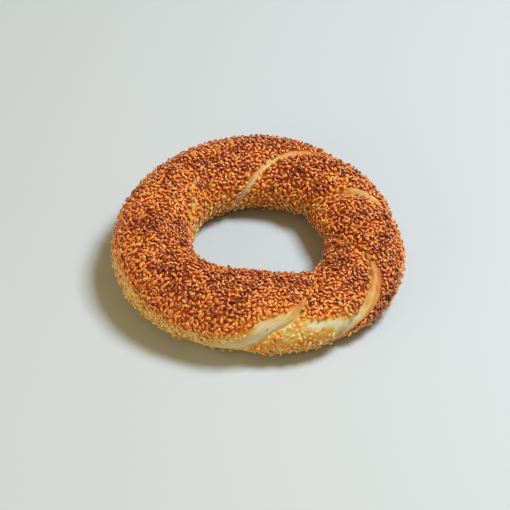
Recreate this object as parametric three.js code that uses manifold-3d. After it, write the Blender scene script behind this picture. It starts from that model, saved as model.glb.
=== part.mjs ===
// A simit: two ropes of bread dough twisted together, closed into a ring and baked.
// Millimetres, +Z up, standing on its flat base. Its origin is under the middle of the ring.
import * as THREE from "three";
import { mergeVertices } from "three/addons/utils/BufferGeometryUtils.js";
import Module from "manifold-3d";

// Sizes that change round the ring are a mean and some waves. Each wave is how many times
// it repeats in a turn, how much it adds in millimetres, and the ring angle of its peak.
// Ring angles are in degrees, anticlockwise from +X when seen from above.
const CENTRE_RADIUS = { mean: 52, waves: [[2, 1.25, -6], [3, 1.6, 84], [4, 0.5, 45]] };
const HALF_WIDTH = { mean: 19.8, waves: [[1, 1.2, 275], [2, 0.6, 80], [4, 0.5, 0]] };
const HEIGHT = { mean: 31.6, waves: [[1, 3.6, 188]] };

const BASE_CUT = 0.2; // share of the tube's half height that the flat base takes away

// Where the first rope's seam lies on the tube's section as the twist goes round.
// Section angles are in degrees: 0 faces out, 90 up, 180 into the ring's hole.
// The second seam lies opposite it, so a seam crosses the crown at each odd 90.
const TWIST = [
  { ring: -98, section: -22 },
  { ring: -86, section: 13 },
  { ring: -74, section: 36 },
  { ring: -61, section: 90 },
  { ring: -22, section: 270 },
  { ring: -6, section: 330 },
  { ring: 12, section: 372 },
  { ring: 27.5, section: 450 },
  { ring: 40.5, section: 524 },
  { ring: 72, section: 630 },
  { ring: 113, section: 716 },
];
const TWIST_IN_A_TURN = 720;

// How far the second seam leans round the section from its place opposite the first.
const LEAN = [
  { ring: -98, section: 0 },
  { ring: -78, section: 30 },
  { ring: -60, section: 55 },
  { ring: -50, section: 56 },
  { ring: -36, section: 16 },
  { ring: -27, section: 0 },
  { ring: -10, section: 0 },
  { ring: 80, section: 1 },
  { ring: 98, section: 8 },
  { ring: 109, section: 22 },
  { ring: 122, section: 20 },
  { ring: 145, section: 5 },
  { ring: 165, section: 0 },
];
const CROWN_LAG = 5; // degrees: how far a seam runs behind on its way over the crown

// The seams that show. Each has the ring angle where it crosses the crown, and its depth
// on the side of the hole and on the outer side.
const SEAMS = [
  { crown: 72, rope: 1, inner: 1.5, outer: 2 },
  { crown: 27, rope: 0, inner: 3.5, outer: 6 },
  { crown: -22, rope: 1, inner: 3, outer: 4.5 },
  { crown: -61, rope: 0, inner: 3, outer: 3.5 },
];
const CLOSED_SEAM = 0.8; // depth where the two ropes have baked into one
const SEAM_REACH = 50; // degrees of ring from a crown to where its seam has closed
const SEAM_FADE = 0.6; // under 1 keeps a seam deep for longer before it closes
const SEAM_SHARPNESS = 2.5; // how narrow the crease is against the swollen ropes

const RING_STEPS = 96;
const SECTION_STEPS = 32;
const CREASE_CROWDING = 0.3; // share by which section points draw together at the seams

const { sin, cos, abs, PI } = Math;
const radians = THREE.MathUtils.degToRad;

function sizeAt(size, ring) {
  return size.waves.reduce(
    (sum, [repeats, amount, peak]) => sum + amount * cos(radians(repeats * (ring - peak))),
    size.mean,
  );
}

// A smooth curve of section angle over ring angle, carried on past both ends of its knots.
function alongRing(knots, inATurn) {
  const turns = [-1, 0, 1];
  const carried = turns.flatMap((turn) =>
    knots.map(({ ring, section }) => [ring + 360 * turn, section + inATurn * turn]),
  );
  const curve = new THREE.CubicInterpolant(
    Float64Array.from(carried, ([ring]) => ring),
    Float64Array.from(carried, ([, section]) => section),
    1,
    new Float64Array(1),
  );
  return (ring) => curve.evaluate(ring)[0];
}

function makeTwist() {
  const steadyAt = alongRing(TWIST, TWIST_IN_A_TURN);
  return (ring) => {
    const steady = steadyAt(ring);
    return steady - CROWN_LAG * sin(radians(2 * (steady - 90)));
  };
}

function seamDepth(rope, ring) {
  return SEAMS.filter((seam) => seam.rope === rope).reduce((depth, seam) => {
    const past = THREE.MathUtils.euclideanModulo(ring - seam.crown + 180, 360) - 180;
    if (abs(past) > SEAM_REACH) return depth;
    const open = (0.5 + 0.5 * cos((PI * past) / SEAM_REACH)) ** SEAM_FADE;
    const inward = THREE.MathUtils.clamp(past / 60 + 0.5, 0, 1);
    const full = THREE.MathUtils.lerp(seam.outer, seam.inner, inward);
    return depth + (full - CLOSED_SEAM) * open;
  }, CLOSED_SEAM);
}

// One point of the skin, at a section angle counted from the first rope's seam.
function skinPoint(ring, twist, lean, fromSeam) {
  const halfWidth = sizeAt(HALF_WIDTH, ring);
  const halfHeight = sizeAt(HEIGHT, ring) / (2 - BASE_CUT);
  const rope = cos(fromSeam) > 0 ? 0 : 1;
  const crease = (1 - abs(sin(fromSeam))) ** SEAM_SHARPNESS;
  const swell = 1 - (seamDepth(rope, ring) / HALF_WIDTH.mean) * crease;
  const section = radians(twist) + fromSeam + (radians(lean) * (1 - cos(fromSeam))) / 2;
  const out = sizeAt(CENTRE_RADIUS, ring) + halfWidth * swell * cos(section);
  const up = halfHeight * (1 - BASE_CUT + swell * sin(section));
  return [out * cos(radians(ring)), out * sin(radians(ring)), up];
}

// A closed skin whose lines run along the seams, because its section turns with the twist.
function twistedRing() {
  const twistAt = makeTwist();
  const leanAt = alongRing(LEAN, 0);
  const positions = [];
  const triangles = [];
  for (let i = 0; i < RING_STEPS; i++) {
    const ring = (360 * i) / RING_STEPS - 180;
    const twist = twistAt(ring);
    const lean = leanAt(ring);
    for (let j = 0; j < SECTION_STEPS; j++) {
      const even = (2 * PI * j) / SECTION_STEPS;
      const fromSeam = even - (CREASE_CROWDING / 2) * sin(2 * even);
      positions.push(...skinPoint(ring, twist, lean, fromSeam));
      const next = (i + 1) % RING_STEPS;
      const up = (j + 1) % SECTION_STEPS;
      const [a, b, c, d] = [[i, j], [next, j], [next, up], [i, up]].map(
        ([along, round]) => along * SECTION_STEPS + round,
      );
      triangles.push(a, b, d, b, c, d);
    }
  }
  return new THREE.BufferGeometry()
    .setAttribute("position", new THREE.Float32BufferAttribute(positions, 3))
    .setIndex(triangles);
}

// The flat base: all that would reach below the baking sheet is cut away.
async function standOnBase(geometry) {
  const wasm = await Module();
  wasm.setup();
  const solid = (shape) => {
    shape.deleteAttribute("normal");
    shape.deleteAttribute("uv");
    const merged = mergeVertices(shape);
    return new wasm.Manifold(
      new wasm.Mesh({
        numProp: 3,
        vertProperties: merged.attributes.position.array,
        triVerts: new Uint32Array(merged.index.array),
      }),
    );
  };
  const across = 4 * CENTRE_RADIUS.mean;
  const deep = HEIGHT.mean;
  const below = new THREE.BoxGeometry(across, across, deep).translate(0, 0, -deep / 2);
  const mesh = solid(geometry).subtract(solid(below)).getMesh();
  return new THREE.BufferGeometry()
    .setAttribute("position", new THREE.BufferAttribute(mesh.vertProperties, 3))
    .setIndex(new THREE.BufferAttribute(mesh.triVerts, 1));
}

async function makeSimit() {
  const geometry = await standOnBase(twistedRing());
  geometry.computeBoundingBox();
  const middle = geometry.boundingBox.getCenter(new THREE.Vector3());
  geometry.translate(-middle.x, -middle.y, 0);
  geometry.computeVertexNormals();
  const crust = new THREE.MeshStandardMaterial({ color: "#a5602c", roughness: 0.75, metalness: 0 });
  const simit = new THREE.Mesh(geometry, crust);
  simit.name = "simit";
  return simit;
}

const part = new THREE.Group();
part.add(await makeSimit());
export default part;
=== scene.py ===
import math

import bpy
import numpy as np
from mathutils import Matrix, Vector, kdtree, noise


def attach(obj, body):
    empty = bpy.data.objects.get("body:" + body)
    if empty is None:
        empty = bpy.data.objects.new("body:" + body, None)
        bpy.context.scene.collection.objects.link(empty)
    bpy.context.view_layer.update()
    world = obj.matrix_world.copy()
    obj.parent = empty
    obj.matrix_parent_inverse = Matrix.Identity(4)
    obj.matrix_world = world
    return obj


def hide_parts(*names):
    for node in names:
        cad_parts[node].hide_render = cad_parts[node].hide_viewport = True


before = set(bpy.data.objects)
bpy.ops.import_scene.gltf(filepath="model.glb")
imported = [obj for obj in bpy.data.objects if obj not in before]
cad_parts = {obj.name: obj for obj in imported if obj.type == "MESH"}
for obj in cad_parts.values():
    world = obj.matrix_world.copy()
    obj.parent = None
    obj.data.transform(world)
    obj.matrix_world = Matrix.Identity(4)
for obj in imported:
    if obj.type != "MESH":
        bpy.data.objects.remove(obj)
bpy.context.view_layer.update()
MM = 0.001


# ---- The ring ----
# The ring's form is the solid's, in millimetres and degrees. Ring angles go anticlockwise
# from +X, seen from above. Section angles go round the tube: 0 out, 90 up, 180 into the hole.
# A size that changes round the ring is a mean and waves: repeats in a turn, amount, peak.
CENTRE_RADIUS = (52, [(2, 1.25, -6), (3, 1.6, 84), (4, 0.5, 45)])
HALF_WIDTH = (19.8, [(1, 1.2, 275), (2, 0.6, 80), (4, 0.5, 0)])
HEIGHT = (31.6, [(1, 3.6, 188)])
BASE_CUT = 0.2  # share of the tube's half height that the flat base takes away
TUBE_RADIUS = 17.5  # of a plain tube, for the start and for turning angles into lengths
SEED_LAYER = 0.75  # how far inside the solid the dough lies, which leaves room for the seeds
BASE_LIFT = 0.3  # the seeds under the base keep the dough so far off the sheet
BASE_LIFT_FADE = 8  # above this height the dough isn't lifted
BASE_ROUND = 1.2  # how far above and below the sheet the pressed edge of the base is rounded

# Where the first rope's seam lies on the section as the ring goes round, and how far the
# second seam leans from its place opposite the first.
TWIST_RING = [-98, -86, -74, -61, -22, -6, 12, 27.5, 40.5, 72, 113]
TWIST_SECTION = [-22, 13, 36, 90, 270, 330, 372, 450, 524, 630, 716]
TWIST_IN_A_TURN = 720
CROWN_LAG = 5  # how far a seam runs behind on its way over the crown
LEAN_RING = [-98, -78, -60, -50, -36, -27, -10, 80, 98, 109, 122, 145, 165]
LEAN_SECTION = [0, 30, 55, 56, 16, 0, 0, 1, 8, 22, 20, 5, 0]

# The open seams: the ring angle at the crown, the rope, and the depths at the hole and outside.
# groove is how much deeper the crease cuts, and lip how far the dough beside it stands up, on
# the side of lip_side. bare gives the bare dough along the seam: at these section angles, how
# wide it is before the crease and after it, and how brown it is.
SEAMS = {
    "back": {
        "crown": 72, "rope": 1, "inner": 1.5, "outer": 2.0,
        "groove": 0.5, "lip": 0.2, "lip_side": -1,
        "bare": [
            (34, 0.0, 0.0, 0.6), (48, 2.0, 1.8, 0.52), (85, 2.1, 1.8, 0.4), (110, 2.0, 1.6, 0.24),
            (150, 1.7, 1.4, 0.1), (190, 1.6, 1.4, 0.1), (215, 0.0, 0.0, 0.2),
        ],
    },
    "right": {
        "crown": 27, "rope": 0, "inner": 3.5, "outer": 6.0,
        "groove": 0.8, "lip": 0.3, "lip_side": -1,
        "bare": [
            (20, 0.0, 0.0, 0.4), (40, 3.8, 1.6, 0.34), (68, 4.2, 1.6, 0.3), (86, 3.4, 1.4, 0.36),
            (104, 1.0, 0.6, 0.5), (122, 0.0, 0.0, 0.5),
        ],
    },
    "corner": {
        "crown": -22, "rope": 1, "inner": 3.0, "outer": 4.5,
        "groove": 1.8, "lip": 1.0, "lip_side": 1,
        "bare": [
            (-30, 2.0, 0.2, 0.04), (-2, 4.2, 0.3, 0.04), (18, 6.0, 0.3, 0.1), (32, 7.2, 0.3, 0.28),
            (46, 7.2, 0.3, 0.42), (62, 6.0, 0.3, 0.5), (79, 4.0, 0.3, 0.46), (95, 1.8, 0.3, 0.4),
            (112, 0.6, 0.2, 0.4), (130, 0.0, 0.0, 0.4),
        ],
    },
    "front": {
        "crown": -61, "rope": 0, "inner": 3.0, "outer": 3.5,
        "groove": 0.8, "lip": 0.3, "lip_side": -1,
        "bare": [
            (-60, 1.0, 9.4, 0.05), (-20, 0.5, 9.4, 0.04), (7, 0.4, 9.0, 0.02), (22, 0.4, 8.2, 0.03),
            (30, 0.4, 7.4, 0.1), (44, 0.4, 5.6, 0.27), (57, 0.4, 3.8, 0.43), (72, 0.4, 2.0, 0.5),
            (110, 0.3, 0.7, 0.5), (140, 0.0, 0.0, 0.5),
        ],
    },
}
CLOSED_SEAM = 0.8  # depth where the two ropes have baked into one
SEAM_REACH = 50  # ring angle from a crown to where its seam has closed
SEAM_CROSSES = 60  # ring angle in which a seam runs from the outer side to the hole
SEAM_FADE = 0.6  # under 1 keeps a seam deep for longer before it closes
SEAM_SHARPNESS = 2.5  # how narrow the crease is against the swollen ropes
SEAM_TURN = 3.7  # about how fast a seam's section angle grows with the ring angle
BARE_REACH = 62  # ring angle from a crown past which its seam shows no bare dough
GROOVE_WIDTH = 1.0
LIP_PLACE, LIP_WIDTH = 2.2, 1.6  # how far beside the crease the lip stands, and how wide it is
STRANDS = [(1.1, 9, 0.8, 12), (0.7, 5, 0.6, 13)]  # width, length, amount and kind of noise
RING_DEGREE, SECTION_DEGREE = 0.9, 0.3  # about how long a degree is, in millimetres
EDGE_SOFT = 0.4  # how far on either side of its edge a band of bare dough ends
WIDE_BAND, WIDE_SOFT = 2.5, 0.16  # a band wider than this ends more softly, by this share
RAGGED_BAND = 4  # a band at least so wide has fully ragged edges
STRAND_BAND, STRAND_EDGE = 2, 0.5  # and from this width its strands stick out so far
BAND_EDGE_BROWNER, BAND_MIDDLE_PALER = 0.24, 0.03
BARE_PATCHES = 0.04
BARE_STRANDS = (0.1, 0.45)  # how much strands brown: pale dough, and more where it is brown
PORE = (-87, 27, 1.6)  # the ring, section and size of a pore in the front seam's dough
PORE_BROWN = 0.8

# Unevenness in millimetres: how much, how wide, and the kind of noise.
RAGGED = [(0.9, 3.5, 9), (0.5, 1.6, 10)]  # the edges of the bare dough
LUMPS = [(0.45, 13, 3), (0.18, 4.5, 4)]
WRINKLES = [(0.08, 1.3, 5)]
UNSEEDED_WRINKLES = [(0.3, 2.4, 7)]
BARE_WRINKLES = [(0.14, 2.2, 11)]
BARE_RIDGES = (0.1, 0.3)  # how far strands stand out: on pale dough, and more where it is brown


# ---- What the oven did ----
# How far down the outside the browned, seeded crust reaches, at ring angles: degrees of
# section below the crown. Below that the dough is pale and the seeds are few.
CRUST_RING = [
    -180, -170, -162, -148, -136, -116, -104, -98, -89, -80, -72, -56, -48, -40, -20, 20, 40, 140, 180,
]
CRUST_REACH = [94, 78, 66, 70, 82, 84, 78, 69, 52, 42, 48, 59, 68, 88, 92, 88, 104, 106, 99]
CRUST_REACH_IN = 112  # and down the side of the hole, all the way round
CRUST_REACH_CORNER = 110  # and in a strip along the corner seam, before the crease
CORNER_STRIP = (0.8, 2.5, 18)  # millimetres from that seam where the strip starts, is full, ends
CRUST_STRAYS = (6, 5)  # degrees that wide and small patches move the crust's edge
CRUST_ENDS = (-5, 8)  # degrees from its edge over which the crust ends
SHOULDER = (-60, 4)  # degrees from its edge over which the crust grows lighter

# How brown the dough is below the crust's edge, and what share of the seeds clings there.
FLANK_RING = [-180, -160, -130, -108, -96, -84, -68, -50, -30, 180]
FLANK_BROWN = [0.16, 0.02, 0.02, 0.02, 0.03, 0.12, 0.1, 0.06, 0.3, 0.16]
FLANK_SEEDS = [0.8, 0.66, 0.72, 0.7, 0.5, 0.62, 0.6, 0.5, 0.7, 0.7]
FLANK_FRECKLES = 0.2  # how much browner its small patches are
FRECKLED = (-0.15, 0.35)  # the noise, from -1 to 1, over which they brown
FLANK_PATCHES = 0.1

CROWN_BROWN = 0.74
CROWN_PATCHES = 0.13
SHOULDER_PALER = 0.22
SEAMSIDE_PALER = 0.16
SEAMSIDE = (1.0, 1.6)  # millimetres from a crease where that starts to fade, and how fast
CORNER_BROWNER = 0.14
CORNER_BROWNS = (60, 90)  # degrees down over which the strip along the corner seam browns
GOLDEN_AND_BOUNCE_FLANK = 0.17  # how much paler the flank of the hole is round the back: partly its own lighter bake, partly painted bounce light where it lies in shade
GOLDEN_AND_BOUNCE_DOWN = (36, 66)  # degrees of section past the crown over which that flank turns golden and takes that painted bounce light
GOLDEN_AND_BOUNCE_STARTS, GOLDEN_AND_BOUNCE_FADES = (-5, 30), (172, 200)  # ring angles
UNDERSIDE, UNDERSIDE_PATCHES = 0.56, 0.2  # how brown the flat base is
UNDERSIDE_SEEDS = 0.3
UNDERSIDE_FACES = (0.75, 0.97)  # how squarely down the skin faces where the base starts, is full

# Places painted paler, as painted light where more light falls on them: ring, section, size in degrees,
# and how much less.
PALER = [(168, 95, 45, 0.13), (28, 85, 34, 0.14), (20, 165, 40, 0.14), (150, 130, 40, 0.1)]
# Places where seeds cling in a clump: ring, section, size, and what share is there.
CLUMPS = [(-91, -16, 9, 1.0), (107, 196, 6, 1.0), (-84, 8, 5, 0.7)]
CLUMP_BROWN = 0.55
# Places where seeds are thin: ring, section, size, the share that is missing, and how brown
# the dough shows there.
THIN = [
    (136.4, 120, 4, 0.7, 0.1), (140, 123, 4, 0.7, 0.05), (143.5, 126, 5, 0.75, 0.0),
    (147, 128, 5, 0.75, 0.0), (150.5, 131, 4, 0.7, 0.05), (150, 147, 6, 0.8, 0.0),
    (154, 149, 6, 0.8, 0.0), (158, 151, 7, 0.8, 0.0), (163, 151, 6, 0.8, 0.0),
    (165.5, 107, 5, 0.8, 0.2), (165.8, 125, 5, 0.7, 0.1), (171, 144, 6, 0.7, 0.05),
    (138, 143, 5, 0.6, 0.1), (136, 168, 14, 0.4, 0.34), (118, 170, 14, 0.4, 0.34),
    (-69.5, 29, 8, 0.6, 0.0), (-67, 27, 9, 0.65, 0.0), (-64.5, 26, 9, 0.65, 0.0),
    (-62, 24, 9, 0.65, 0.0), (-59.5, 22, 9, 0.65, 0.0), (-57, 20, 9, 0.65, 0.0),
    (-54, 17, 8, 0.6, 0.0),
]
THIN_SHOWS = 0.9  # how fully that brown shows in the middle of such a place


# ---- Sesame ----
SEED_SIZE = (2.9, 1.65, 1.2)  # length, width, thickness
SEED_TAPER = [(0.405, 0.6), (0.155, 0.9), (-0.405, 1.1)]  # a ring of points, what girth it keeps
SEED_SPACING = 1.63  # between the middles of seeds that lie on the dough
LOOSE_SPACING = 2.7  # and of seeds that lie on top of them
LOOSE_SHARE = 0.12
CANDIDATES = 110000  # places that are tried, until hardly another seed fits in
FEWEST = 0.12  # the density below which seeds lie no further apart
DENSE = (0.5, 2.2)  # from this density every place is used, and below it this times its density
LOOSE_FROM = 0.6  # the density that can carry loose seeds
CELL = 4.0  # width of the cubes in which a seed's neighbours are looked up
SEED_TIPS = (0.22, 0.38)  # radians that seeds tip, on the dough and on top of others
SEED_ROLLS = 1.3  # how much more they roll than tip
SEED_VARIES = (0.09, 0.78, 1.2)  # in size: how much, and the least and the most
SEED_SKEWS = 0.05  # in each of its three sizes
SUNK, ON_CRUST, ON_SEEDS = -0.14, 0.52, 0.6  # how high seeds lie, in thicknesses, added up
LIES_DENSE = (0.45, 0.85)  # the densities between which seeds rise onto the crust
UNDER_BASE = 0.2  # and how far they stand out of the base
LIFT_VARIES = 0.08
PRESSED_BELOW = 0.65  # seeds at a lower density than this are pressed into the dough
CLOSES_OVER = (0.5, 0.75)  # the densities between which the dough stops closing over them
PRESS_REACH, PRESS_SWELL, PRESS_BROWN = 1.5, 0.3, 0.2  # how wide, high and brown it swells
TONE_VARIES = 0.14
TONES = (0.06, 0.86)  # the palest and the darkest
PALE_AHEAD = (0.04, 0.1, 0.45)  # how much browner than pale dough seeds are, and up to which
TOASTED, GOLDEN = 0.62, 0.3  # the browning from which seeds count as toasted and as golden
CHARRED = [(62, 117), (80, 158), (39, 80)]  # ring and section where two seeds are blackened
CHARRED_SHARE = 0.0015  # and of all the seeds, by chance

RING_STEPS = 460
SECTION_STEPS = 210
CREASE_CROWDING = 0.22  # how far the section's points draw together at the seams
NOISE_STEP = (17.3, 5.1, 9.7)  # how far one kind of noise lies from the next
FAR = 99.0  # millimetres: across a seam that isn't near


# ---- The ring's form ----
def size_at(size, ring):
    mean, waves = size
    return mean + sum(amount * np.cos(np.radians(n * (ring - peak))) for n, amount, peak in waves)


def ease(value, start, end):
    """0 before start, 1 after end, and a smooth step between."""
    share = np.clip((value - start) / (end - start), 0, 1)
    return share * share * (3 - 2 * share)


def through_knots(rings, sections, in_a_turn, ring):
    """A smooth curve of section angle over ring angle through these knots, all the way round."""
    knots = np.concatenate([np.array(rings) + 360 * turn for turn in (-1, 0, 1)])
    turned = np.concatenate([np.array(sections) + in_a_turn * turn for turn in (-1, 0, 1)])
    slopes = np.diff(turned) / np.diff(knots)
    tangents = np.concatenate([slopes[:1], (slopes[1:] + slopes[:-1]) / 2, slopes[-1:]])
    k = np.clip(np.searchsorted(knots, ring, side="right") - 1, 0, len(knots) - 2)
    gap = knots[k + 1] - knots[k]
    s = (ring - knots[k]) / gap
    return (
        (2 * s**3 - 3 * s**2 + 1) * turned[k]
        + (s**3 - 2 * s**2 + s) * gap * tangents[k]
        + (3 * s**2 - 2 * s**3) * turned[k + 1]
        + (s**3 - s**2) * gap * tangents[k + 1]
    )


def twist_at(ring):
    """The section angle of the first rope's seam."""
    steady = through_knots(TWIST_RING, TWIST_SECTION, TWIST_IN_A_TURN, ring)
    return steady - CROWN_LAG * np.sin(np.radians(2 * (steady - 90)))


def lean_at(ring):
    return through_knots(LEAN_RING, LEAN_SECTION, 0, ring)


def section_at(ring, from_seam):
    """The section angle, in radians, of a point so far round from the first rope's seam."""
    return np.radians(twist_at(ring)) + from_seam + np.radians(lean_at(ring)) * (1 - np.cos(from_seam)) / 2


def seam_line(ring, rope):
    """The section angle of a rope's seam."""
    return twist_at(ring) + rope * (180 + lean_at(ring))


def half_turn(degrees):
    """The same angle, from -180 to 180."""
    return (degrees + 180) % 360 - 180


def seam_openness(ring, seam):
    past = half_turn(ring - seam["crown"])
    wave = 0.5 + 0.5 * np.cos(np.pi * np.clip(past / SEAM_REACH, -1, 1))
    return wave**SEAM_FADE


def seam_depth(ring, rope):
    depth = np.full_like(ring, CLOSED_SEAM)
    for seam in SEAMS.values():
        if seam["rope"] == rope:
            inward = np.clip(half_turn(ring - seam["crown"]) / SEAM_CROSSES + 0.5, 0, 1)
            full = seam["outer"] + (seam["inner"] - seam["outer"]) * inward
            depth = depth + (full - CLOSED_SEAM) * seam_openness(ring, seam)
    return depth


def skin(ring, section, from_seam, inset):
    """Points of the ring's skin in millimetres, inset from the solid's by so much."""
    half_width = size_at(HALF_WIDTH, ring) - inset
    half_height = size_at(HEIGHT, ring) / (2 - BASE_CUT)
    depth = np.where(np.cos(from_seam) > 0, seam_depth(ring, 0), seam_depth(ring, 1))
    crease = (1 - np.abs(np.sin(from_seam))) ** SEAM_SHARPNESS
    swell = 1 - depth / HALF_WIDTH[0] * crease
    out = size_at(CENTRE_RADIUS, ring) + half_width * swell * np.cos(section)
    up = half_height * (1 - BASE_CUT) + (half_height - inset) * swell * np.sin(section)
    turn = np.radians(ring)
    return np.stack([out * np.cos(turn), out * np.sin(turn), up], axis=-1)


def normals_of(grid):
    """Outward normals of a grid of points that closes on itself both ways."""
    along = np.roll(grid, -1, axis=0) - np.roll(grid, 1, axis=0)
    round_ = np.roll(grid, -1, axis=1) - np.roll(grid, 1, axis=1)
    normal = np.cross(along, round_)
    return normal / np.linalg.norm(normal, axis=-1, keepdims=True)


def mottle(points, size, kind):
    """Smooth noise from -1 to 1 whose patches are about size millimetres wide."""
    shift = Vector([kind * step for step in NOISE_STEP])
    flat = points.reshape(-1, 3) / size
    values = [noise.noise(Vector(p) + shift) for p in flat]
    return np.array(values).reshape(points.shape[:-1])


def uneven(points, patterns):
    """Noise of several patterns added up, each given by its amount, size and kind."""
    return sum(amount * mottle(points, size, kind) for amount, size, kind in patterns)


def fibres(across, along):
    """Noise in strands that run along a seam, where the dough was pulled apart."""
    strands = 0
    for n, (width, length, amount, kind) in enumerate(STRANDS):
        stretched = np.stack([across / width, along / length, np.full_like(across, n)], axis=-1)
        strands = strands + amount * mottle(stretched, 1, kind)
    return strands


def nearness(ring, section, place_ring, place_section, size):
    """1 at a place on the skin, fading out over so many degrees of section. A degree of ring
    is about three times as long as one of section."""
    away = np.hypot((ring - place_ring) * 3, half_turn(np.degrees(section) - place_section))
    return np.exp(-((away / size) ** 2))


# ---- What the twisting and the oven did, point by point ----
def across_seam(ring, from_seam, radius, seam):
    """How far each point lies across a seam in millimetres, and the section angle at which
    the seam passes closest to it."""
    rope = seam["rope"]
    turned = seam_line(ring + 0.5, rope) - seam_line(ring - 0.5, rope)
    slope = turned * TUBE_RADIUS / radius
    slant = 1 / np.sqrt(1 + slope**2)
    line = seam_line(ring, rope)
    past = half_turn(ring - seam["crown"])
    line = line - 360 * np.round((line - 90 - past * SEAM_TURN) / 360)
    off = half_turn(np.degrees(from_seam) - 180 * rope)
    return np.radians(off) * TUBE_RADIUS * slant, line + off * (1 - slant**2)


def bare_dough(across, key, ragged, pulled, seam):
    """How bare the dough beside a seam is, and how brown it is. Its edges are ragged, softer
    where the band is wide, and they run out in strands."""
    keys, before, after, browns = np.array(seam["bare"]).T
    width = np.where(across < 0, np.interp(key, keys, before), np.interp(key, keys, after))
    edge = width - np.abs(across) + ragged * np.clip(width / RAGGED_BAND, 0.1, 1)
    edge = edge + STRAND_EDGE * pulled * np.clip(width / STRAND_BAND, 0, 1)
    softer = WIDE_SOFT * np.maximum(width - WIDE_BAND, 0)
    opened = ease(edge, -EDGE_SOFT, EDGE_SOFT + softer) * ease(width, 0, 0.5)
    outward = np.clip(np.abs(across) / np.maximum(width, 1), 0, 1)
    tan = np.interp(key, keys, browns) + BAND_EDGE_BROWNER * outward**2 - BAND_MIDDLE_PALER
    return opened, tan


def seam_fields(ring, from_seam, points):
    """What the open seams do at each point: how bare it is, how brown its bare dough is, its
    strands, how far the creases cut in, and how far it lies across each of them and across
    the nearest, in millimetres."""
    fields = {name: np.zeros_like(ring) for name in ("bare", "tan", "fibre", "cut")}
    radius = np.hypot(points[..., 0], points[..., 1])
    ragged = uneven(points, RAGGED)
    for name, seam in SEAMS.items():
        here = np.abs(half_turn(ring - seam["crown"])) < BARE_REACH
        across, key = across_seam(ring, from_seam, radius, seam)
        pulled = fibres(across, RING_DEGREE * ring + SECTION_DEGREE * key)
        opened, tan = bare_dough(across, key, ragged, pulled, seam)
        opened = np.where(here, opened, 0)
        openness = seam_openness(ring, seam)
        groove = seam["groove"] * openness * np.exp(-np.abs(across) / GROOVE_WIDTH)
        beside = (across * seam["lip_side"] - LIP_PLACE) / LIP_WIDTH
        lip = seam["lip"] * openness * np.exp(-(beside**2))
        fields["fibre"] = np.where(opened > fields["bare"], pulled, fields["fibre"])
        fields["tan"] = np.where(opened > fields["bare"], tan, fields["tan"])
        fields["bare"] = np.maximum(fields["bare"], opened)
        fields["cut"] = fields["cut"] + np.where(here, groove - lip, 0)
        fields[name] = np.where(here, across, FAR)
    stacked = np.stack([fields[name] for name in SEAMS])
    closest = np.argmin(np.abs(stacked), axis=0)
    fields["nearest"] = np.take_along_axis(stacked, closest[None], axis=0)[0]
    return fields


def crust_brown(down, reach, lean, ring, patches, strip, nearest):
    """How browned the seeded crust is: most on the crown, less towards its lower edge, beside
    the open seams and down the golden flank of the hole, whose paler colour is partly painted bounce
    light."""
    shoulder = ease(down, reach + SHOULDER[0], reach + SHOULDER[1])
    # painted light: the flank of the hole is made paler partly for its bake and partly as painted bounce
    # light where it lies in shade
    golden = GOLDEN_AND_BOUNCE_FLANK * ease(lean, *GOLDEN_AND_BOUNCE_DOWN)
    golden = golden * ease(ring, *GOLDEN_AND_BOUNCE_STARTS) * (1 - ease(ring, *GOLDEN_AND_BOUNCE_FADES))
    beside = np.exp(-np.maximum(np.abs(nearest) - SEAMSIDE[0], 0) / SEAMSIDE[1])
    brown = CROWN_BROWN - SHOULDER_PALER * shoulder - golden
    brown = brown + CROWN_PATCHES * patches - SEAMSIDE_PALER * beside
    return brown + CORNER_BROWNER * strip * ease(down, *CORNER_BROWNS)


def browning(points, ring, section, fields):
    """How browned the dough is at each point, how browned a seed there is, and how thickly it
    is seeded, each from 0 to 1."""
    ring = half_turn(ring)
    lean = half_turn(np.degrees(section) - 90)  # below the crown: under 0 outside, over 0 inside
    patches = mottle(points, 9, kind=1)
    small = mottle(points, 3, kind=2)
    reach = np.where(lean < 0, np.interp(ring, CRUST_RING, CRUST_REACH), CRUST_REACH_IN)
    strip = ease(-fields["corner"], *CORNER_STRIP[:2]) * (fields["corner"] > -CORNER_STRIP[2])
    reach = reach + (CRUST_REACH_CORNER - reach) * strip
    down = np.abs(lean) + CRUST_STRAYS[0] * patches + CRUST_STRAYS[1] * small
    crusted = 1 - ease(down, reach + CRUST_ENDS[0], reach + CRUST_ENDS[1])
    brown = crust_brown(down, reach, lean, ring, patches, strip, fields["nearest"])
    pale = np.interp(ring, FLANK_RING, FLANK_BROWN) + FLANK_FRECKLES * ease(small, *FRECKLED)
    pale = pale + FLANK_PATCHES * patches
    brown = pale + (brown - pale) * crusted
    strands = (BARE_STRANDS[0] + BARE_STRANDS[1] * fields["tan"]) * fields["fibre"]
    bare_brown = fields["tan"] + BARE_PATCHES * patches + strands
    brown = brown + (bare_brown - brown) * fields["bare"]
    few = np.interp(ring, FLANK_RING, FLANK_SEEDS) + FLANK_PATCHES * patches
    seeded = np.maximum(crusted, few) * (1 - fields["bare"])
    # painted light: these places are made paler where more light falls on them, not where the bake was
    # lighter
    for *place, less in PALER:
        brown = brown - less * nearness(ring, section, *place)
    toast = brown
    for *place, missing, shows in THIN:
        near = nearness(ring, section, *place)
        seeded = seeded * (1 - missing * near)
        brown = brown + (shows - brown) * THIN_SHOWS * near
    for *place, share in CLUMPS:
        near = nearness(ring, section, *place)
        seeded = np.maximum(seeded, share * near)
        brown = np.maximum(brown, CLUMP_BROWN * near)
        toast = np.maximum(toast, CLUMP_BROWN * near)
    brown = brown + (PORE_BROWN - brown) * nearness(ring, section, *PORE)
    return np.clip(brown, 0, 1), np.clip(toast, 0, 1), np.clip(seeded, 0, 1)


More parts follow.
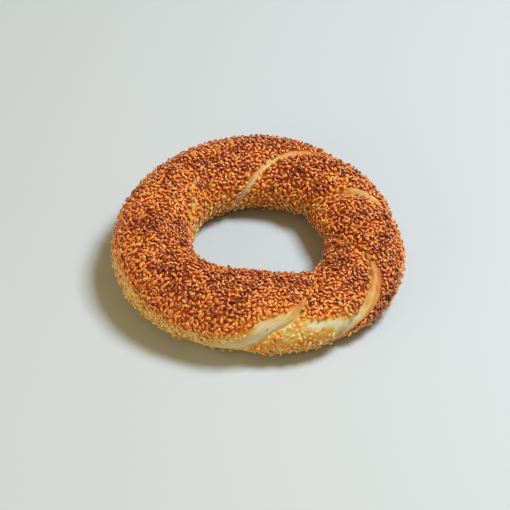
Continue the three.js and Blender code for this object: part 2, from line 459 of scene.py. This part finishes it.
def relief(points, fields, seeded):
    """How far the dough's lumps, wrinkles and pulled strands stand out, in millimetres."""
    bare = fields["bare"]
    wrinkles = uneven(points, WRINKLES) * (1 - bare)
    wrinkles = wrinkles + uneven(points, UNSEEDED_WRINKLES) * (1 - seeded) * (1 - bare)
    ridges = (BARE_RIDGES[0] + BARE_RIDGES[1] * fields["tan"]) * fields["fibre"]
    stretch = (ridges + uneven(points, BARE_WRINKLES)) * bare
    return uneven(points, LUMPS) + wrinkles + stretch


def press_down(height):
    """Heights near and below the baking sheet are pressed flat, with a small round, and the
    base rests on its seeds."""
    pressed = np.where(height < -BASE_ROUND, 0, (height + BASE_ROUND) ** 2 / (4 * BASE_ROUND))
    lift = BASE_LIFT * (1 - ease(height, 0, BASE_LIFT_FADE))
    return np.where(height > BASE_ROUND, height, pressed) + lift


# ---- The dough ----
def make_grid():
    """The dough's surface as a grid of points, with what is known about each point."""
    ring = np.arange(RING_STEPS) * 360 / RING_STEPS
    around = np.arange(SECTION_STEPS) * 2 * np.pi / SECTION_STEPS
    around = around - CREASE_CROWDING * np.sin(2 * around)
    ring, from_seam = np.meshgrid(ring, around, indexing="ij")
    section = section_at(ring, from_seam)
    solid = skin(ring, section, from_seam, 0.0).reshape(-1, 3)
    middle = (solid.max(axis=0) + solid.min(axis=0)) / 2
    points = skin(ring, section, from_seam, SEED_LAYER)
    fields = seam_fields(ring, from_seam, points)
    brown, toast, seeded = browning(points, ring, section, fields)
    stands_out = relief(points, fields, seeded) - fields["cut"]
    points = points + normals_of(points) * stands_out[..., None]
    points[..., :2] -= middle[:2]
    points[..., 2] = press_down(points[..., 2])
    under = ease(-normals_of(points)[..., 2], *UNDERSIDE_FACES)
    base_brown = UNDERSIDE + UNDERSIDE_PATCHES * mottle(points, 11, kind=14)
    brown = brown + (base_brown - brown) * under
    toast = toast + (UNDERSIDE - toast) * under
    seeded = seeded * (1 - under) + UNDERSIDE_SEEDS * under
    return {
        "points": points, "ring": ring, "section": section, "under": under,
        "brown": brown, "toast": toast, "seeded": seeded, "bare": fields["bare"],
    }


def keep_floats(mesh, name, values):
    values = np.ascontiguousarray(values, dtype=np.float32).ravel()
    mesh.attributes.new(name, "FLOAT", "POINT").data.foreach_set("value", values)


def shape_dough(grid):
    """A plain torus, divided once, whose points are moved to the twisted ring: the torus's
    own two angles say which point of the grid each of them is."""
    bpy.ops.object.select_all(action="DESELECT")
    bpy.ops.mesh.primitive_torus_add(
        major_segments=RING_STEPS // 2,
        minor_segments=SECTION_STEPS // 2,
        major_radius=CENTRE_RADIUS[0],
        minor_radius=TUBE_RADIUS,
        generate_uvs=False,
    )
    dough = bpy.context.object
    dough.name = "dough"
    bpy.ops.object.mode_set(mode="EDIT")
    bpy.ops.mesh.select_all(action="SELECT")
    bpy.ops.mesh.subdivide(number_cuts=1)
    bpy.ops.object.mode_set(mode="OBJECT")
    mesh = dough.data
    torus = np.empty((len(mesh.vertices), 3), dtype=np.float32)
    mesh.vertices.foreach_get("co", torus.ravel())
    x, y, z = torus.T
    i = np.rint(np.arctan2(y, x) / (2 * np.pi) * RING_STEPS).astype(int) % RING_STEPS
    j = np.rint(np.arctan2(z, np.hypot(x, y) - CENTRE_RADIUS[0]) / (2 * np.pi) * SECTION_STEPS)
    j = j.astype(int) % SECTION_STEPS
    placed = np.ascontiguousarray(grid["points"][i, j] * MM, dtype=np.float32)
    mesh.vertices.foreach_set("co", placed.ravel())
    keep_floats(mesh, "brown", grid["brown"][i, j])
    keep_floats(mesh, "bare", grid["bare"][i, j])
    bpy.ops.object.mode_set(mode="EDIT")
    bpy.ops.mesh.select_all(action="SELECT")
    bpy.ops.mesh.normals_make_consistent(inside=False)
    bpy.ops.object.mode_set(mode="OBJECT")
    bpy.ops.object.shade_smooth()
    return dough


# ---- The sesame ----
def model_seed():
    """One seed: a flattened drop, its tip towards +X, a few dozen faces."""
    bpy.ops.object.select_all(action="DESELECT")
    bpy.ops.mesh.primitive_uv_sphere_add(
        segments=6, ring_count=5, radius=0.5, rotation=(0, math.pi / 2, 0)
    )
    bpy.ops.object.transform_apply(location=False, rotation=True, scale=False)
    seed = bpy.context.object
    bpy.ops.object.mode_set(mode="EDIT")
    bpy.ops.mesh.select_all(action="DESELECT")
    bpy.ops.object.mode_set(mode="OBJECT")
    for place, girth in SEED_TAPER:
        for vertex in seed.data.vertices:
            vertex.select = abs(vertex.co.x - place) < 0.02
        bpy.ops.object.mode_set(mode="EDIT")
        bpy.ops.transform.resize(value=(1, girth, girth), center_override=(0, 0, 0))
        bpy.ops.mesh.select_all(action="DESELECT")
        bpy.ops.object.mode_set(mode="OBJECT")
    bpy.ops.object.mode_set(mode="EDIT")
    bpy.ops.mesh.select_all(action="SELECT")
    bpy.ops.transform.resize(value=SEED_SIZE, center_override=(0, 0, 0))
    bpy.ops.object.mode_set(mode="OBJECT")
    corners = np.array([vertex.co[:] for vertex in seed.data.vertices])
    faces = [list(polygon.vertices) for polygon in seed.data.polygons]
    bpy.data.objects.remove(seed, do_unlink=True)
    return corners, faces


def keep_apart(places, layers, gaps, wanted):
    """Which of the wanted places are kept, first come first served: none lies closer than its
    gap to one that is already kept in its layer."""
    kept = []
    cells = {}
    steps = [(a, b, c) for a in (-1, 0, 1) for b in (-1, 0, 1) for c in (-1, 0, 1)]
    for n in np.flatnonzero(wanted):
        x, y, z = places[n]
        cell = (int(x // CELL), int(y // CELL), int(z // CELL))
        near = [
            places[m]
            for a, b, c in steps
            for m in cells.get((cell[0] + a, cell[1] + b, cell[2] + c, layers[n]), ())
        ]
        limit = gaps[n] ** 2
        if all((p[0] - x) ** 2 + (p[1] - y) ** 2 + (p[2] - z) ** 2 > limit for p in near):
            kept.append(n)
            cells.setdefault((*cell, layers[n]), []).append(n)
    return np.array(kept)


def sow(grid, rng):
    """Places on the dough for the seeds, with what is known about each."""
    points = grid["points"]
    along = np.roll(points, -1, 0) - points
    around = np.roll(points, -1, 1) - points
    chance = np.linalg.norm(np.cross(along, around), axis=-1) * (grid["seeded"] > 0.02)
    picked = rng.choice(chance.size, size=CANDIDATES, p=(chance / chance.sum()).ravel())
    i, j = np.unravel_index(picked, chance.shape)
    u, v = rng.random((2, CANDIDATES))

    def between(values):
        next_i, next_j = (i + 1) % RING_STEPS, (j + 1) % SECTION_STEPS
        u_, v_ = (u[:, None], v[:, None]) if values.ndim == 3 else (u, v)
        low = values[i, j] * (1 - u_) + values[next_i, j] * u_
        high = values[i, next_j] * (1 - u_) + values[next_i, next_j] * u_
        return low * (1 - v_) + high * v_

    places = between(points)
    seeded = between(grid["seeded"])
    layer = np.where(rng.random(CANDIDATES) < LOOSE_SHARE, 1, 0)
    gap = np.where(layer == 1, LOOSE_SPACING, SEED_SPACING) / np.sqrt(np.clip(seeded, FEWEST, 1))
    taken = rng.random(CANDIDATES) < np.where(seeded > DENSE[0], 1, seeded * DENSE[1])
    carried = (layer == 0) | (seeded > LOOSE_FROM)
    kept = keep_apart(places, layer, gap, taken & carried)
    normal = between(normals_of(points))[kept]
    normal /= np.linalg.norm(normal, axis=1, keepdims=True)
    return {
        "place": places[kept], "normal": normal, "layer": layer[kept], "seeded": seeded[kept],
        "toast": between(grid["toast"])[kept], "under": between(grid["under"])[kept],
    }


def sink_seeds(grid, sown):
    """Where seeds are few they are pressed into the dough, which swells and browns over them."""
    sunk = sown["place"][sown["seeded"] < PRESSED_BELOW]
    tree = kdtree.KDTree(len(sunk))
    for n, place in enumerate(sunk):
        tree.insert(place, n)
    tree.balance()
    points = grid["points"]
    thin = grid["seeded"] < CLOSES_OVER[1]
    i, j = np.nonzero(thin & (grid["bare"] < 0.6) & (grid["under"] < 0.5))
    away = np.array([tree.find(place)[2] for place in points[i, j]])
    soft = 1 - ease(grid["seeded"][i, j], *CLOSES_OVER)
    swell = np.exp(-((away / PRESS_REACH) ** 2)) * soft
    grid["points"][i, j] += normals_of(points)[i, j] * (PRESS_SWELL * swell)[:, None]
    grid["brown"][i, j] += PRESS_BROWN * swell


def find_charred(sown, grid, rng):
    """Which seeds the oven has blackened: a few by chance, and two at each known place."""
    charred = rng.random(len(sown["toast"])) < CHARRED_SHARE
    ring = half_turn(grid["ring"])
    for place_ring, place_section in CHARRED:
        near = nearness(ring, grid["section"], place_ring, place_section, 1.0)
        i, j = np.unravel_index(np.argmax(near), near.shape)
        away = np.linalg.norm(sown["place"] - grid["points"][i, j], axis=1)
        charred[np.argsort(away)[:2]] = True
    return charred


def turn_frames(normal, spin, tilt, roll):
    """Each seed's own axes as rows: along, across and up, turned about its normal and tipped."""
    helper = np.where(np.abs(normal[:, 2:]) < 0.9, [[0.0, 0.0, 1.0]], [[1.0, 0.0, 0.0]])
    side = np.cross(helper, normal)
    side /= np.linalg.norm(side, axis=1, keepdims=True)
    ahead = np.cross(normal, side)
    c, s = np.cos(spin)[:, None], np.sin(spin)[:, None]
    along = side * c + ahead * s
    across = np.cross(normal, along)
    c, s = np.cos(tilt)[:, None], np.sin(tilt)[:, None]
    along, up = along * c + normal * s, normal * c - along * s
    c, s = np.cos(roll)[:, None], np.sin(roll)[:, None]
    across, up = across * c + up * s, up * c - across * s
    return np.stack([along, across, up], axis=1)


def seed_tones(toast, charred, rng):
    """Each seed's own browning, from its place's."""
    ahead, start, end = PALE_AHEAD
    tone = toast + ahead * (1 - ease(toast, start, end)) + rng.normal(0, TONE_VARIES, len(toast))
    return np.where(charred, 1, np.clip(tone, *TONES))


def lay_seeds(name, shape, sown, chosen, rng, finish):
    """One piece that holds all the chosen seeds, each turned, tipped and sized on its own."""
    corners, faces = shape
    n = int(chosen.sum())
    layer = sown["layer"][chosen]
    normal = sown["normal"][chosen]
    tips = np.where(layer == 1, SEED_TIPS[1], SEED_TIPS[0])
    spin = rng.uniform(0, 2 * np.pi, n)
    tilt = rng.normal(0, tips)
    frames = turn_frames(normal, spin, tilt, rng.normal(0, tips * SEED_ROLLS))
    varies, least, most = SEED_VARIES
    sizes = np.clip(rng.normal(1, varies, (n, 1)), least, most) * rng.normal(1, SEED_SKEWS, (n, 3))
    height = SUNK + ON_CRUST * ease(sown["seeded"][chosen], *LIES_DENSE) + ON_SEEDS * layer
    lift = SEED_SIZE[2] * height + rng.normal(0, LIFT_VARIES, n)
    lift = np.where(sown["under"][chosen] > 0.5, SEED_SIZE[2] * UNDER_BASE, lift)
    middle = sown["place"][chosen] + normal * lift[:, None]
    points = middle[:, None, :] + np.einsum("nkc,ncd->nkd", corners[None] * sizes[:, None, :], frames)
    points[..., 2] = np.maximum(points[..., 2], 0.0)
    starts = (np.arange(n) * len(corners)).tolist()
    joined = [[k + start for k in face] for start in starts for face in faces]
    mesh = bpy.data.meshes.new(name)
    mesh.from_pydata((points.reshape(-1, 3) * MM).tolist(), [], joined)
    tone = seed_tones(sown["toast"][chosen], sown["charred"][chosen], rng)
    keep_floats(mesh, "tone", np.repeat(tone, len(corners)))
    keep_floats(mesh, "tip", np.tile(corners[:, 0] / SEED_SIZE[0] + 0.5, n))
    piece = bpy.data.objects.new(name, mesh)
    bpy.context.scene.collection.objects.link(piece)
    piece.data.materials.append(finish)
    bpy.ops.object.select_all(action="DESELECT")
    bpy.context.view_layer.objects.active = piece
    piece.select_set(True)
    bpy.ops.object.shade_smooth()
    return piece


# ---- Materials ----
# Colours from the palest to the brownest: how brown, and the colour there.
# The darkest crust colours, worn on the crown, are partly the toasted crust and partly painted shade in
# the gaps between the seeds.
CRUST_AND_GAP_SHADE_COLOURS = [
    (0.0, "#CED0B4"), (0.1, "#CABD86"), (0.2, "#C8A856"), (0.32, "#CC9334"),
    (0.46, "#C66E16"), (0.6, "#AA4C11"), (0.74, "#84330B"), (1.0, "#501E08"),
]
BARE_COLOURS = [
    (0.0, "#CFD0B8"), (0.15, "#CDB883"), (0.35, "#C79A5A"),
    (0.55, "#BC7D40"), (0.8, "#9C5524"), (1.0, "#743C1A"),
]
SEED_COLOURS = [
    (0.0, "#E8DCA8"), (0.15, "#E0C070"), (0.35, "#DAA54A"), (0.55, "#E4923C"),
    (0.72, "#D47D3E"), (0.84, "#B05B2D"), (0.94, "#7E3814"), (1.0, "#2C1A12"),
]
BLOTCH_SCALE = 260.0  # blotches about 4 mm wide
FRECKLE_SCALE = 1500.0  # freckles about 0.7 mm wide
PORE_SCALE = 900.0  # pores about 1 mm wide
BLOTCHES, FRECKLES = 0.22, 0.12  # how much they brown the crust


def colour(code):
    """An sRGB hex colour as linear values."""
    parts = [int(code[k : k + 2], 16) / 255 for k in (1, 3, 5)]
    return (*(c / 12.92 if c <= 0.04045 else ((c + 0.055) / 1.055) ** 2.4 for c in parts), 1)


def new_material(name):
    material = bpy.data.materials.new(name)
    material.use_nodes = True
    return material, material.node_tree.nodes["Principled BSDF"]


def add(tree, kind, settings=(), **links):
    """A node of this kind, its settings by property, input name or input number, and links."""
    made = tree.nodes.new("ShaderNode" + kind)
    for name, value in dict(settings).items():
        if isinstance(name, int) or name in made.inputs:
            made.inputs[name].default_value = value
        else:
            setattr(made, name, value)
    for name, source in links.items():
        place = int(name[1:]) if name[1:].isdigit() else name
        tree.links.new(source, made.inputs[place])
    return made


def set_ramp(ramp, stops):
    points = ramp.color_ramp.elements
    while len(points) > 1:
        points.remove(points[-1])
    points[0].position, points[0].color = stops[0][0], colour(stops[0][1])
    for position, code in stops[1:]:
        points.new(position).color = colour(code)


def baked_crust():
    """Wheat dough washed with grape molasses and browned in a hot oven: a thin satin skin,
    dark where it rose into the heat, with painted shade between the seeds there, and cream where the ropes
    lay against each other."""
    material, shader = new_material("baked_crust")
    tree = material.node_tree
    brown = add(tree, "Attribute", {"attribute_name": "brown"}).outputs["Fac"]
    bare = add(tree, "Attribute", {"attribute_name": "bare"}).outputs["Fac"]
    where = add(tree, "TexCoord").outputs["Object"]
    blotches = add(tree, "TexNoise", {"Scale": BLOTCH_SCALE, "Detail": 4.0}, Vector=where)
    freckle_noise = {"Scale": FRECKLE_SCALE, "Detail": 3.0, "Roughness": 0.6}
    freckles = add(tree, "TexNoise", freckle_noise, Vector=where)
    pore_noise = {"Scale": PORE_SCALE, "Detail": 5.0, "Roughness": 0.55}
    pores = add(tree, "TexNoise", pore_noise, Vector=where)
    share = {"operation": "MULTIPLY_ADD", 1: BLOTCHES}
    blotched = add(tree, "Math", share, _0=blotches.outputs["Fac"], _2=brown)
    share = {"operation": "MULTIPLY_ADD", 1: FRECKLES}
    speckled = add(tree, "Math", share, _0=freckles.outputs["Fac"], _2=blotched.outputs[0])
    back = {"operation": "SUBTRACT", 1: (BLOTCHES + FRECKLES) / 2}
    level = add(tree, "Math", back, _0=speckled.outputs[0]).outputs[0]
    # this ramp's dark end also holds painted shade between the seeds on the crown
    crust = add(tree, "ValToRGB", (), _0=level)
    set_ramp(crust, CRUST_AND_GAP_SHADE_COLOURS)
    pulled = add(tree, "ValToRGB", (), _0=level)
    set_ramp(pulled, BARE_COLOURS)
    sides = {"_6": crust.outputs["Color"], "_7": pulled.outputs["Color"]}
    both = add(tree, "Mix", {"data_type": "RGBA"}, _0=bare, **sides)
    tree.links.new(both.outputs[2], shader.inputs["Base Color"])
    bump = add(tree, "Bump", {"Strength": 0.35, "Distance": 0.0004}, Height=pores.outputs["Fac"])
    tree.links.new(bump.outputs["Normal"], shader.inputs["Normal"])
    shader.inputs["Roughness"].default_value = 0.62
    shader.inputs["IOR"].default_value = 1.45
    shader.inputs["Specular IOR Level"].default_value = 0.2
    return material


def toasted_sesame():
    """Sesame seeds toasted on the bread: a thin, slightly oily skin, satin, its colour from
    straw to red brown with how long the oven had it, darker at the tip."""
    material, shader = new_material("toasted_sesame")
    tree = material.node_tree
    tone = add(tree, "Attribute", {"attribute_name": "tone"}).outputs["Fac"]
    tip = add(tree, "Attribute", {"attribute_name": "tip"}).outputs["Fac"]
    darker = add(tree, "Math", {"operation": "MULTIPLY_ADD", 1: 0.12}, _0=tip, _2=tone)
    ramp = add(tree, "ValToRGB", (), _0=darker.outputs[0])
    set_ramp(ramp, SEED_COLOURS)
    tree.links.new(ramp.outputs["Color"], shader.inputs["Base Color"])
    shader.inputs["Roughness"].default_value = 0.34
    shader.inputs["IOR"].default_value = 1.5
    shader.inputs["Specular Tint"].default_value = colour("#FFE2C4")
    shader.inputs["Coat Weight"].default_value = 1.0
    shader.inputs["Coat Roughness"].default_value = 0.22
    shader.inputs["Coat IOR"].default_value = 1.5
    return material


# ---- Stage ----
WINDOW = {"azimuth": 15, "elevation": 62, "distance": 1.3, "size": 0.4, "watts": 20.0}
BOUNCE_CARD = {"azimuth": 224, "elevation": 12, "distance": 0.7, "size": 0.6, "watts": 2.6}
FLOOR_SIZE = 4
FLOOR_DROP = 0.0001  # metres, so that the base doesn't lie in the floor's own plane
CAMERA_ELEVATION = 45.15
CAMERA_DISTANCE = 0.9988  # metres
CAMERA_AIM = (-1.65, 3.95, 0)  # millimetres
LENS, SENSOR = 139, 36


def light(name, tint, azimuth, elevation, distance, size, watts):
    """A soft square lamp that faces the bread, from this ring angle and height."""
    a, e = math.radians(azimuth), math.radians(elevation)
    place = Vector((math.cos(a) * math.cos(e), math.sin(a) * math.cos(e), math.sin(e))) * distance
    lamp = bpy.data.lights.new(name, "AREA")
    lamp.size = size
    lamp.energy = watts
    lamp.color = colour(tint)[:3]
    made = bpy.data.objects.new(name, lamp)
    made.location = place
    made.rotation_euler = (-place).to_track_quat("-Z", "Y").to_euler()
    bpy.context.scene.collection.objects.link(made)


def set_stage():
    """A pale floor under a high soft window, a low warm card, and a warm dim room."""
    bpy.ops.object.select_all(action="DESELECT")
    bpy.ops.mesh.primitive_plane_add(size=FLOOR_SIZE, location=(0, 0, -FLOOR_DROP))
    floor = bpy.context.object
    floor.name = "floor"
    matt_paint, shader = new_material("pale_floor")
    shader.inputs["Base Color"].default_value = colour("#B6C5D1")
    shader.inputs["Roughness"].default_value = 0.6
    floor.data.materials.append(matt_paint)
    light("window", "#FBFAF9", **WINDOW)
    light("bounce card", "#FFDFAC", **BOUNCE_CARD)
    world = bpy.data.worlds.new("room")
    world.use_nodes = True
    room = world.node_tree.nodes["Background"]
    room.inputs["Color"].default_value = colour("#FFD898")
    room.inputs["Strength"].default_value = 0.37
    bpy.context.scene.world = world
    bpy.context.scene.view_settings.view_transform = "Standard"


def set_camera():
    """A long lens about a metre away, 45 degrees above the bread."""
    elevation = math.radians(CAMERA_ELEVATION)
    back = Vector((0, -math.cos(elevation), math.sin(elevation)))
    lens = bpy.data.cameras.new("camera")
    lens.lens = LENS
    lens.sensor_width = SENSOR
    camera = bpy.data.objects.new("camera", lens)
    camera.location = Vector(CAMERA_AIM) * MM + back * CAMERA_DISTANCE
    camera.rotation_euler = (-back).to_track_quat("-Z", "Y").to_euler()
    bpy.context.scene.collection.objects.link(camera)
    bpy.context.scene.camera = camera


# ---- Making it ----
rng = np.random.default_rng(7)
grid = make_grid()
sown = sow(grid, rng)
sink_seeds(grid, sown)
dough = shape_dough(grid)
dough.data.materials.append(baked_crust())
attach(dough, "root")
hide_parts("simit")

seed = model_seed()
sesame = toasted_sesame()
sown["charred"] = find_charred(sown, grid, rng)
toast, unburnt = sown["toast"], ~sown["charred"]
kinds = {
    "sesame_toasted": (toast >= TOASTED) & unburnt,
    "sesame_golden": (toast >= GOLDEN) & (toast < TOASTED) & unburnt,
    "sesame_pale": (toast < GOLDEN) & unburnt,
    "sesame_charred": sown["charred"],
}
for name, chosen in kinds.items():
    piece = lay_seeds(name, seed, sown, chosen, rng, sesame)
    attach(piece, "root")
    print(name, int(chosen.sum()))

set_stage()
set_camera()
